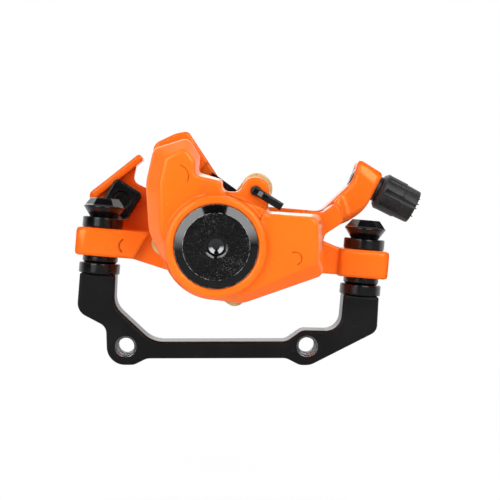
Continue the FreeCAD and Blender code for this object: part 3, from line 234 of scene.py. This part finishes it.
def gloss_black():
    """The disc: a dusty flat, a polished bevel whose two edges are light grey in patches, and a
    bare socket bottom.
    """
    s = Shader("gloss_black")
    reach = s.reach(tuple(PISTON))
    flat = s.band(reach, (DISC_FLAT_RADIUS - 0.2) * MM, DISC_FLAT_RADIUS * MM, 1.0, 0.0)
    outside = s.band(reach, (SOCKET_LIP_RADIUS - 0.1) * MM, (SOCKET_LIP_RADIUS + 0.1) * MM)
    flat = s.math("MULTIPLY", flat, outside)
    dust = s.math("MAXIMUM", s.specks(2600, 0.3, 0.14), s.specks(5200, 0.5, 0.2))
    haze = s.band(s.noise(240, 4), 0.4, 0.75)
    dust = s.math("MULTIPLY", dust, s.math("ADD", 0.35, haze, True))
    dust = s.math("MULTIPLY", dust, flat)
    black = s.mix(s.band(s.noise(180, 4), 0.4, 0.7), linear("#060607"), linear("#0D0D0F"))
    black = s.mix(s.scaled(dust, 0.45), black, linear("#A9A9AC"))
    # both edges of the bevel are light grey in patches
    light_edge_patches = 0.0
    for edge, half in ((DISC_FLAT_RADIUS, 0.09), (DISC_RIM_RADIUS, 0.07)):
        off = s.math("ABSOLUTE", s.math("SUBTRACT", reach, edge * MM))
        light_edge_patches = s.math("MAXIMUM", light_edge_patches, s.band(off, half * 0.5 * MM, half * MM, 1.0, 0.0))
    light_edge_patches = s.math("MULTIPLY", light_edge_patches, s.band(s.noise(900, 4, 0.7), 0.42, 0.62))
    black = s.mix(s.scaled(light_edge_patches, 0.6), black, linear("#B4B4B8"))
    socket = s.band(reach, (SOCKET_DRILL_RADIUS - 0.05) * MM, (SOCKET_DRILL_RADIUS + 0.05) * MM,
                    1.0, 0.0)
    deep = s.math("GREATER_THAN", s.axis(s.place, "Y"), SOCKET_BARE_FROM * MM)
    bottom = s.math("MULTIPLY", socket, deep)
    relief = s.math("ADD", s.noise(2400, 2), s.scaled(dust, 0.6))
    s.set(Base_Color=s.mix(bottom, black, linear("#626366")), Metallic=bottom,
          Roughness=s.band(flat, 0.0, 1.0, 0.09, 0.32),
          Normal=s.bump(relief, 0.06, 0.06, s.soft_edges(0.2)))
    s.set(Coat_Weight=s.band(flat, 0.0, 1.0, 1.0, 0.1), Coat_Roughness=0.06, Coat_IOR=1.58,
          Specular_IOR_Level=0.25)
    return s.material


def black_plastic():
    s = Shader("black_plastic")
    grain = s.noise(2600, 3)
    drift = s.band(s.noise(350, 3), 0.35, 0.7)
    s.set(Base_Color=s.mix(drift, linear("#1F1F20"), linear("#2B2B2C")),
          Roughness=s.band(grain, 0.3, 0.7, 0.38, 0.55),
          Normal=s.bump(grain, 0.2, 0.08, s.soft_edges(0.2)))
    return s.material


def yellow_zinc():
    """Yellow passivated plating, whose film shifts from gold to a pale green."""
    s = Shader("yellow_zinc")
    film = s.noise(260, 4)
    gold = s.mix(s.band(film, 0.35, 0.6), linear("#D9B873"), linear("#EBD49A"))
    s.set(Base_Color=s.mix(s.band(film, 0.62, 0.75), gold, linear("#D3D0A0")), Metallic=0.45,
          Roughness=s.band(s.noise(900, 3), 0.3, 0.7, 0.3, 0.45),
          Normal=s.bump(s.noise(2200, 2), 0.1, 0.04, s.soft_edges(0.2)))
    return s.material


def pad_lining():
    """Friction lining with metal chips in it."""
    s = Shader("pad_lining")
    chips = s.specks(1800, 0.4, 0.22)
    base = s.mix(s.noise(1300, 4), linear("#26231F"), linear("#3D3831"))
    s.set(Base_Color=s.mix(chips, base, linear("#8A7D68")), Metallic=s.scaled(chips, 0.7),
          Roughness=0.8, Normal=s.bump(s.noise(2400, 4), 0.6, 0.1))
    return s.material


def metal(name, dark, light, low, high, grain=(1500.0, 1500.0, 1500.0), strength=0.12):
    """Bare or blackened metal with drawn or turned grain, its roughness from low to high."""
    s = Shader(name)
    stretched = s.node("VectorMath", {"operation": "MULTIPLY"}, _0=s.place, _1=grain).outputs[0]
    lines = s.noise(1.0, 3, 0.5, stretched)
    s.set(Base_Color=s.mix(s.noise(400, 3), linear(dark), linear(light)), Metallic=1.0,
          Roughness=s.band(lines, 0.3, 0.7, low, high),
          Normal=s.bump(lines, strength, 0.04, s.soft_edges(0.15)))
    return s.material


def rubber():
    s = Shader("rubber")
    s.set(Base_Color=s.mix(s.noise(600, 3), linear("#151515"), linear("#222222")), Roughness=0.75,
          Normal=s.bump(s.noise(3000, 3), 0.25, 0.06))
    return s.material


MATERIALS = {
    "orange_paint": orange_paint(),
    "black_aluminium": black_aluminium(),
    "black_steel": black_steel(),
    "gloss_black": gloss_black(),
    "black_plastic": black_plastic(),
    "yellow_zinc": yellow_zinc(),
    "pad_lining": pad_lining(),
    "spring_steel": metal("spring_steel", "#2B2B2E", "#3D3D42", 0.22, 0.4),
    "bare_steel": metal("bare_steel", "#A9A9AC", "#C4C4C8", 0.18, 0.36, (900.0, 4500.0, 900.0)),
    "polished_steel": metal("polished_steel", "#CFCFD3", "#DEDEE2", 0.04, 0.1, strength=0.02),
    "rubber": rubber(),
}


def finish_of(piece, slot):
    """Gives a piece the material of a slot."""
    piece.data.materials.clear()
    piece.data.materials.append(MATERIALS[slot])


slot_of = {part["node"]: part["material_slot"] for part in frame["record"]["subparts"]}
for name, node in frame["nodes"].items():
    finish_of(node, slot_of[name])


def mesh_piece(name, verts, faces, body, slot, smooth=True):
    """A mesh piece that rides on a body and takes its finish from a slot."""
    mesh = bpy.data.meshes.new(name)
    mesh.from_pydata([tuple(v) for v in verts], [], faces)
    mesh.validate()
    work = bmesh.new()
    work.from_mesh(mesh)
    bmesh.ops.recalc_face_normals(work, faces=work.faces)
    work.to_mesh(mesh)
    work.free()
    for face in mesh.polygons:
        face.use_smooth = smooth
    piece = bpy.data.objects.new(name, mesh)
    scene.collection.objects.link(piece)
    finish_of(piece, slot)
    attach(piece, body)
    return piece


def ring_faces(rings, sides, closed=False):
    """Faces between rings of points, capped at both ends unless the rings close on themselves."""
    faces = []
    for i in range(rings if closed else rings - 1):
        a, b = sides * i, sides * ((i + 1) % rings)
        for k in range(sides):
            n = (k + 1) % sides
            faces.append((a + k, a + n, b + n, b + k))
    if not closed:
        faces.append(tuple(range(sides)))
        faces.append(tuple(sides * rings - 1 - k for k in range(sides)))
    return faces


def thread(name, place, root, crest, pitch, start, length, body, slot):
    """A helical ridge. place(radius, angle, station) gives its points in the row frame."""
    steps = 40
    turns = length / pitch
    count = int(turns * steps)
    verts = []
    for i in range(count + 1):
        angle = TURN * i / steps
        station = start + pitch * i / steps
        fade = min(1.0, i / steps, (count - i) / steps)
        top = root + (crest - root) * fade
        for radius, shift in ((root, -0.42), (top, -0.08), (top, 0.08), (root, 0.42)):
            verts.append(place(radius, angle, station + shift * pitch))
    return mesh_piece(name, verts, ring_faces(count + 1, 4), body, slot)


# Threads in the bracket's two frame holes.
for number, x in enumerate(FRAME_HOLES):
    def in_hole(radius, angle, station, x=x):
        return Vector((x + radius * math.cos(angle), station, radius * math.sin(angle)))
    thread("frame_hole_thread_%d" % (number + 1), in_hole, FRAME_HOLE_RADIUS + THREAD_SUNK,
           FRAME_HOLE_RADIUS - THREAD_TALL, THREAD_PITCH, -BRACKET_THICK + 0.9 * MM,
           BRACKET_THICK - 1.8 * MM, "bracket", "bare_steel")


def low_ridge(name, place, path, wide, tall, body, slot):
    """A raised line along path. place(u, v, out) gives its points in the row frame."""
    verts = []
    last = len(path) - 1
    for i, (u, v) in enumerate(path):
        before, after = path[max(i - 1, 0)], path[min(i + 1, last)]
        run = Vector((after[0] - before[0], after[1] - before[1])).normalized()
        side = Vector((-run.y, run.x))
        fade = min(1.0, i / 4, (last - i) / 4)
        section = (-0.5, -0.05), (-0.22, tall * fade), (0.22, tall * fade), (0.5, -0.05)
        for across, out in section:
            verts.append(place(u + side.x * across * wide, v + side.y * across * wide, out))
    return mesh_piece(name, verts, ring_faces(len(path), 4), body, slot)


def arc_path(u, v, radius, first, last, steps=40):
    """Points of an arc by its centre, radius and its ends in degrees."""
    turns = [math.radians(first + (last - first) * i / steps) for i in range(steps + 1)]
    return [(u + radius * math.cos(a), v + radius * math.sin(a)) for a in turns]


# The barrel adjuster's axis leaves the cable stop's face here, in the caliper's frame.
STOP = Vector((44.6, 6.0, 19.35))
STOP_ANGLE = math.radians(22.1)
KNOB_END = 12.8


def on_barrel(radius, angle, station):
    """A point about the barrel's axis; the angle starts upwards and turns towards the wheel."""
    up = radius * math.cos(angle)
    ahead = Vector((math.cos(STOP_ANGLE), 0, -math.sin(STOP_ANGLE)))
    rise = Vector((math.sin(STOP_ANGLE), 0, math.cos(STOP_ANGLE)))
    spot = STOP + ahead * station + rise * up + Vector((0, -radius * math.sin(angle), 0))
    return on_caliper(spot.x, spot.y, spot.z)


# The stubs of flash on the knob's rim: the radius they stand at, and each one's angle in
# degrees with its length.
NUB_REACH = 4.4
NUB_SIDES = 8
NUBS = ((52, 0.3), (75, 0.55), (93, 0.45), (127, 0.5), (215, 0.4))


def knob_nub(name, angle, length):
    """A stub of moulding flash on the knob's far rim."""
    verts = []
    for reach, half in ((-0.2, 0.2), (length * 0.7, 0.16), (length, 0.07)):
        for k in range(NUB_SIDES):
            turn = TURN * k / NUB_SIDES
            verts.append(on_barrel(NUB_REACH + half * math.cos(turn),
                                   angle + half * math.sin(turn) / NUB_REACH, KNOB_END + reach))
    return mesh_piece(name, verts, ring_faces(3, NUB_SIDES), "barrel_adjuster", "black_plastic")


for number, (degrees, length) in enumerate(NUBS):
    knob_nub("knob_nub_%d" % (number + 1), math.radians(degrees), length)

# Stations along Y of the caliper's wheel-side faces: the lobe and the block, the ears, the arm
# and the pad pin's leg. The ears' skins stand proud of their faces by EAR_CROWN.
LOBE_FACE = -36.3
EAR_FACE = -11.5
EAR_CROWN = 0.5
ARM_FACE = 1.25
PIN_FACE = -35.1


def on_face(level):
    """Places pieces on a wheel-side face of the caliper at a station along Y."""
    return lambda u, v, out: on_caliper(u, level - out, v)


# Crescents in the castings, on the lobe, the block and the left ear: centre, radius and ends
# in degrees of each arc, then its width and height.
for name, level, arc, wide, tall in (
        ("lobe_mark", LOBE_FACE, (-11.7, 17.4, 3.0, -25, 80), 0.5, 0.05),
        ("block_mark", LOBE_FACE, (20.9, -1.45, 1.7, -70, 130), 0.5, 0.04),
        ("ear_mark", EAR_FACE - EAR_CROWN + 0.02, (-25.0, -2.9, 2.0, 115, 245), 0.6, 0.22)):
    low_ridge(name, on_face(level), arc_path(*arc), wide, tall, "caliper", "orange_paint")


def socket_lining(name, profile):
    """A ring in the adjuster's socket by (radius, six-sided or round, station) of its section."""
    count = 72
    sixth = TURN / 6
    verts = []
    for k in range(count):
        turn = TURN * k / count
        off = (turn + sixth / 2) % sixth - sixth / 2
        for radius, sided, station in profile:
            spread = min(radius / math.cos(off), radius * 1.08) if sided else radius
            verts.append(on_caliper(spread * math.cos(turn), station, spread * math.sin(turn)))
    faces = ring_faces(count, len(profile), closed=True)
    return mesh_piece(name, verts, faces, "pad_adjuster", "gloss_black", smooth=False)


# The dished lip of the adjuster's hex socket, and the cone that the drill left at its bottom.
socket_lining("socket_lip", ((SOCKET_LIP_RADIUS, False, -39.46), (2.5, True, -39.2),
                             (2.5, True, -38.88), (2.74, False, -38.88)))
socket_lining("socket_cone", ((2.48, True, -36.9), (2.05, False, -36.88), (0.95, False, -36.48),
                              (0.8, False, -35.02), (2.48, True, -35.02)))


def point_along(path, share):
    """The point at a share of a polyline's length."""
    runs = [(Vector(b) - Vector(a)).length for a, b in zip(path, path[1:])]
    left = share * sum(runs)
    for a, b, run in zip(path, path[1:], runs):
        if left <= run or b == path[-1]:
            return Vector(a).lerp(Vector(b), min(1.0, left / run))
        left -= run


def eased(heights, share):
    """The height at a share of the way, eased between the listed ones."""
    for (s0, h0), (s1, h1) in zip(heights, heights[1:]):
        if share <= s1:
            part = (share - s0) / (s1 - s0)
            return h0 + (h1 - h0) * (3 - 2 * part) * part * part


# A crowned skin: its rows, the share of its width that rounds off at each side, where its
# points lie across, and how far its rim and its back lie under the face.
SKIN_ROWS = 64
SKIN_EDGE = 0.09
SKIN_ACROSS = (0, 0.01, 0.03, 0.06, SKIN_EDGE, 0.2, 0.35, 0.5, 0.65, 0.8, 1 - SKIN_EDGE, 0.94,
               0.97, 0.99, 1)
SKIN_SUNK = 0.1
SKIN_BACK = 0.4


def crowned(name, upper, lower, level, heights, slot):
    """A rounded skin on a wheel-side face, between two edge lines.

    heights lists (share of the way, height in millimetres) of its crown, eased between.
    """
    place = on_face(level)
    verts = []
    for i in range(SKIN_ROWS + 1):
        share = i / SKIN_ROWS
        a, b = point_along(upper, share), point_along(lower, share)
        rise = eased(heights, share) + SKIN_SUNK
        for s in SKIN_ACROSS:
            fall = min(1.0, min(s, 1 - s) / SKIN_EDGE)
            spot = a.lerp(b, s)
            out = rise * math.sqrt(fall * (2 - fall)) - SKIN_SUNK
            verts.append(place(spot.x, spot.y, out))
        verts.extend((place(b.x, b.y, -SKIN_BACK), place(a.x, a.y, -SKIN_BACK)))
    faces = ring_faces(SKIN_ROWS + 1, len(SKIN_ACROSS) + 2)
    return mesh_piece(name, verts, faces, "caliper", slot)


# The arm's face steps down from its root and rounds off towards its tip.
crowned("arm_face", ((32.6, 14.4), (35.4, 17.5), (37.7, 20.2), (38.15, 22.0), (39.15, 26.7)),
        ((34.0, 7.75), (37.3, 9.45), (39.2, 10.95), (41.3, 13.1), (42.75, 15.6), (45.85, 23.2)),
        ARM_FACE, ((0, 1.9), (0.06, 1.9), (0.26, 0.9), (0.8, 0.9), (1.2, -0.86)), "orange_paint")

# The ears' faces round off towards their ends.
EAR_TOP = 1.25
EAR_LOW = -6.15
EAR_TIP = 0.02
crowned("left_ear_face", ((-38.9, EAR_TOP), (-19.0, EAR_TOP)),
        ((-38.9, EAR_LOW), (-22.6, EAR_LOW)), EAR_FACE,
        ((0, EAR_TIP), (0.13, EAR_CROWN), (1, EAR_CROWN)), "orange_paint")
crowned("right_ear_face", ((34.95, EAR_TOP), (48.3, EAR_TOP)),
        ((34.95, EAR_LOW), (48.3, EAR_LOW)), EAR_FACE,
        ((0, EAR_TIP), (0.16, EAR_CROWN), (0.86, EAR_CROWN), (1, EAR_TIP)), "orange_paint")

# The return spring's coil, in millimetres.
COIL_RADIUS, COIL_WIRE, COIL_PITCH, COIL_TURNS, COIL_TAIL = 8.9, 1.0, 1.6, 3, 6.0
COIL_STEPS = 40
COIL_SIDES = 12


def coil_spring(name, stands_for, body):
    """A coil with two tangent tails."""
    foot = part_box(stands_for)[0][1] / MM
    base = foot + COIL_WIRE / 2
    stations = [(0.0, -COIL_TAIL, 0.0)]
    for i in range(COIL_STEPS * COIL_TURNS + 1):
        stations.append((TURN * i / COIL_STEPS, 0.0, COIL_PITCH * i / COIL_STEPS))
    stations.append((TURN * COIL_TURNS, COIL_TAIL, COIL_PITCH * COIL_TURNS))
    up = Vector((0, 1, 0))
    verts = []
    for angle, tail, rise in stations:
        out = Vector((math.cos(angle), 0, math.sin(angle)))
        head = Vector((-math.sin(angle), 0, math.cos(angle)))
        centre = out * COIL_RADIUS + head * tail + up * (base + rise)
        for k in range(COIL_SIDES):
            turn = TURN * k / COIL_SIDES
            round_wire = out * math.cos(turn) + up * math.sin(turn)
            verts.append(on_caliper(*(centre + round_wire * COIL_WIRE / 2)))
    faces = ring_faces(len(stations), COIL_SIDES)
    piece = mesh_piece(name, verts, faces, body, slot_of[stands_for])
    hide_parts(stands_for)
    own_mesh(piece)


coil_spring("coil_spring", "return_spring", "caliper")

# The angle between faces above which the leaves' edges are shaded sharp.
LEAF_SHARP = math.radians(30)


def half_leaf(name, stands_for, side, body):
    """Half of a leaf between the pads, cut from the part at its middle and closed."""
    low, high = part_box(stands_for)
    middle, reach = (low[1] + high[1]) / 2, (high[1] - low[1]) / 2
    half = bmesh.new()
    half.from_mesh(frame["nodes"][stands_for].data)
    bmesh.ops.remove_doubles(half, verts=half.verts, dist=0.001 * MM)
    cut = bmesh.ops.bisect_plane(half, geom=half.verts[:] + half.edges[:] + half.faces[:],
                                 plane_co=(0, middle, 0), plane_no=(0, side, 0),
                                 clear_inner=True)["geom_cut"]
    bmesh.ops.holes_fill(half, edges=[e for e in cut if isinstance(e, bmesh.types.BMEdge)])
    half.verts.index_update()
    verts = [v.co.copy() for v in half.verts]
    faces = [[v.index for v in face.verts] for face in half.faces]
    half.free()
    piece = mesh_piece(name, verts, faces, body, slot_of[stands_for])
    piece.data.set_sharp_from_angle(angle=LEAF_SHARP)
    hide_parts(stands_for)
    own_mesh(piece)


half_leaf("leaf_outboard", "pad_spring", 1, "caliper")
half_leaf("leaf_inboard", "pad_spring", -1, "caliper")

# The pad pin's bent leg, which lifts away from its ring: where it starts, which way it runs,
# its two ends along it and half its width.
PIN_SPOT = (9.17, 15.26)
PIN_LEG = math.radians(-26.9)
PIN_ENDS = (-0.9, 7.9)
PIN_HALF = 0.95


def on_leg(reach, side):
    """A point of the pin's leg by its distance along and across."""
    return (PIN_SPOT[0] + reach * math.cos(PIN_LEG) - side * math.sin(PIN_LEG),
            PIN_SPOT[1] + reach * math.sin(PIN_LEG) + side * math.cos(PIN_LEG))


crowned("pin_leg_bend", [on_leg(end, PIN_HALF) for end in PIN_ENDS],
        [on_leg(end, -PIN_HALF) for end in PIN_ENDS], PIN_FACE,
        ((0, 0.05), (0.16, 0.05), (0.36, 0.6), (0.45, 0.6), (1, 0.15)), "black_steel")

# The studio, in metres and watts. Each lamp has its name, place, width, height and power,
# whether it fades out towards its lower edge, and whether it shows in reflections.
FLOOR_SIDE = 3.0
FLOOR_HEIGHT = -0.046
LAMPS = (
    ("front", (-0.1, -0.75, 0.25), 0.6, 0.6, 0.35, False, False),
    ("key", (-0.29, -0.46, 0.215), 0.28, 0.51, 1.7, True, True),
    ("right", (0.26, -0.46, 0.245), 0.28, 0.47, 1.6, True, True),
    ("top", (0.05, 0.05, 0.6), 0.4, 0.25, 1.1, False, False),
    ("rear", (-0.1, 0.5, 0.3), 0.4, 0.4, 0.7, False, True),
)
LAMP_AIM = Vector((0, -0.015, 0.025))
LAMP_UP_AXIS = "Y"
SURROUND_LIGHT = 0.55
WHITE = (1, 1, 1, 1)


def fade_lamp(lamp):
    """Lets a softbox fade out towards its lower edge."""
    lamp.use_nodes = True
    n = Nodes(lamp.node_tree)
    height = n.axis(n.node("NewGeometry").outputs["Parametric"], LAMP_UP_AXIS)
    n.give(n.tree.nodes["Emission"].inputs["Strength"], n.band(height, -0.05, 0.4))


def floor_finish():
    """White to the camera further out, and a surround of its own for reflections."""
    s = Shader("floor")
    rays = s.node("LightPath").outputs
    far = s.band(s.reach((0.0, 0.0, 0.0), "Z"), 0.05, 0.35, 0.72, 1.0)
    plain = s.node("BsdfDiffuse", Color=linear("#F7F7F7"))
    white = s.node("Emission", Color=WHITE, Strength=1.0)
    blend = s.node("MixShader", _0=s.math("MULTIPLY", rays["Is Camera Ray"], far),
                   _1=plain.outputs[0], _2=white.outputs[0])
    # behind the part the floor reflects white, in front of it dark, like the surround
    behind = s.band(s.axis(s.place, "Y"), -0.02, 0.12, 0.24, 0.85)
    mirrored = s.node("Emission", Color=WHITE, Strength=behind)
    blend = s.node("MixShader", _0=rays["Is Glossy Ray"], _1=blend.outputs[0],
                   _2=mirrored.outputs[0])
    s.give(s.tree.nodes["Material Output"].inputs["Surface"], blend.outputs[0])
    return s.material


def surround():
    """White to the camera, even light on the part, and dark in front for reflections."""
    world = bpy.data.worlds.new("studio")
    scene.world = world
    world.use_nodes = True
    world.node_tree.nodes.clear()
    n = Nodes(world.node_tree)
    ahead = n.axis(n.node("TexCoord").outputs["Generated"], "Y")
    mirrored = n.band(ahead, -0.15, 0.65, 0.02, 0.95)
    rays = n.node("LightPath").outputs
    seen = n.math("MAXIMUM", rays["Is Camera Ray"], rays["Is Transmission Ray"])
    bright = n.math("MAXIMUM", seen, n.math("MULTIPLY", rays["Is Glossy Ray"], mirrored))
    direct = n.math("MAXIMUM", seen, rays["Is Glossy Ray"])
    strength = n.node("Mix", _0=direct, _2=SURROUND_LIGHT, _3=bright).outputs[0]
    light = n.node("Background", Color=WHITE, Strength=strength)
    n.node("OutputWorld", Surface=light.outputs[0])


def studio():
    """Pale floor, soft lamps and a white surround."""
    floor_mesh = bpy.data.meshes.new("floor")
    corners = ((-1, -1), (1, -1), (1, 1), (-1, 1))
    floor_mesh.from_pydata([(x * FLOOR_SIDE, y * FLOOR_SIDE, FLOOR_HEIGHT) for x, y in corners],
                           [], [(0, 1, 2, 3)])
    floor = bpy.data.objects.new("floor", floor_mesh)
    scene.collection.objects.link(floor)
    floor.data.materials.append(floor_finish())
    surround()
    for name, place, wide, high, power, fades, mirrored in LAMPS:
        lamp = bpy.data.lights.new(name, "AREA")
        lamp.shape = "RECTANGLE"
        lamp.size = wide
        lamp.size_y = high
        lamp.energy = power
        if fades:
            fade_lamp(lamp)
        holder = bpy.data.objects.new(name, lamp)
        holder.visible_glossy = mirrored
        scene.collection.objects.link(holder)
        holder.location = place
        holder.rotation_mode = "QUATERNION"
        holder.rotation_quaternion = (LAMP_AIM - Vector(place)).to_track_quat("-Z", "Y")


# The photograph's frame in pixels: its side, the focal length, and where the camera's
# straight-ahead line meets it. The camera stands 400 mm from the plane Y = 0.
PHOTO_SIDE = 500.0
FOCAL = 1393.0
AXIS_X, AXIS_Y = 220.0, 195.0
CAMERA_SPOT = Vector((1.0, -400.0, 42.5)) * MM
SENSOR = 36.0


def photo_camera():
    """The photograph's view: nearly straight at the wheel side, from a little above."""
    lens = bpy.data.cameras.new("camera")
    lens.sensor_width = SENSOR
    lens.lens = FOCAL * SENSOR / PHOTO_SIDE
    camera = bpy.data.objects.new("camera", lens)
    scene.collection.objects.link(camera)
    camera.location = CAMERA_SPOT
    look = Vector(((PHOTO_SIDE / 2 - AXIS_X) / FOCAL, 1.0, -(PHOTO_SIDE / 2 - AXIS_Y) / FOCAL))
    camera.rotation_mode = "QUATERNION"
    camera.rotation_quaternion = look.to_track_quat("-Z", "Y")
    scene.camera = camera


studio()
photo_camera()
scene.view_settings.view_transform = "Standard"
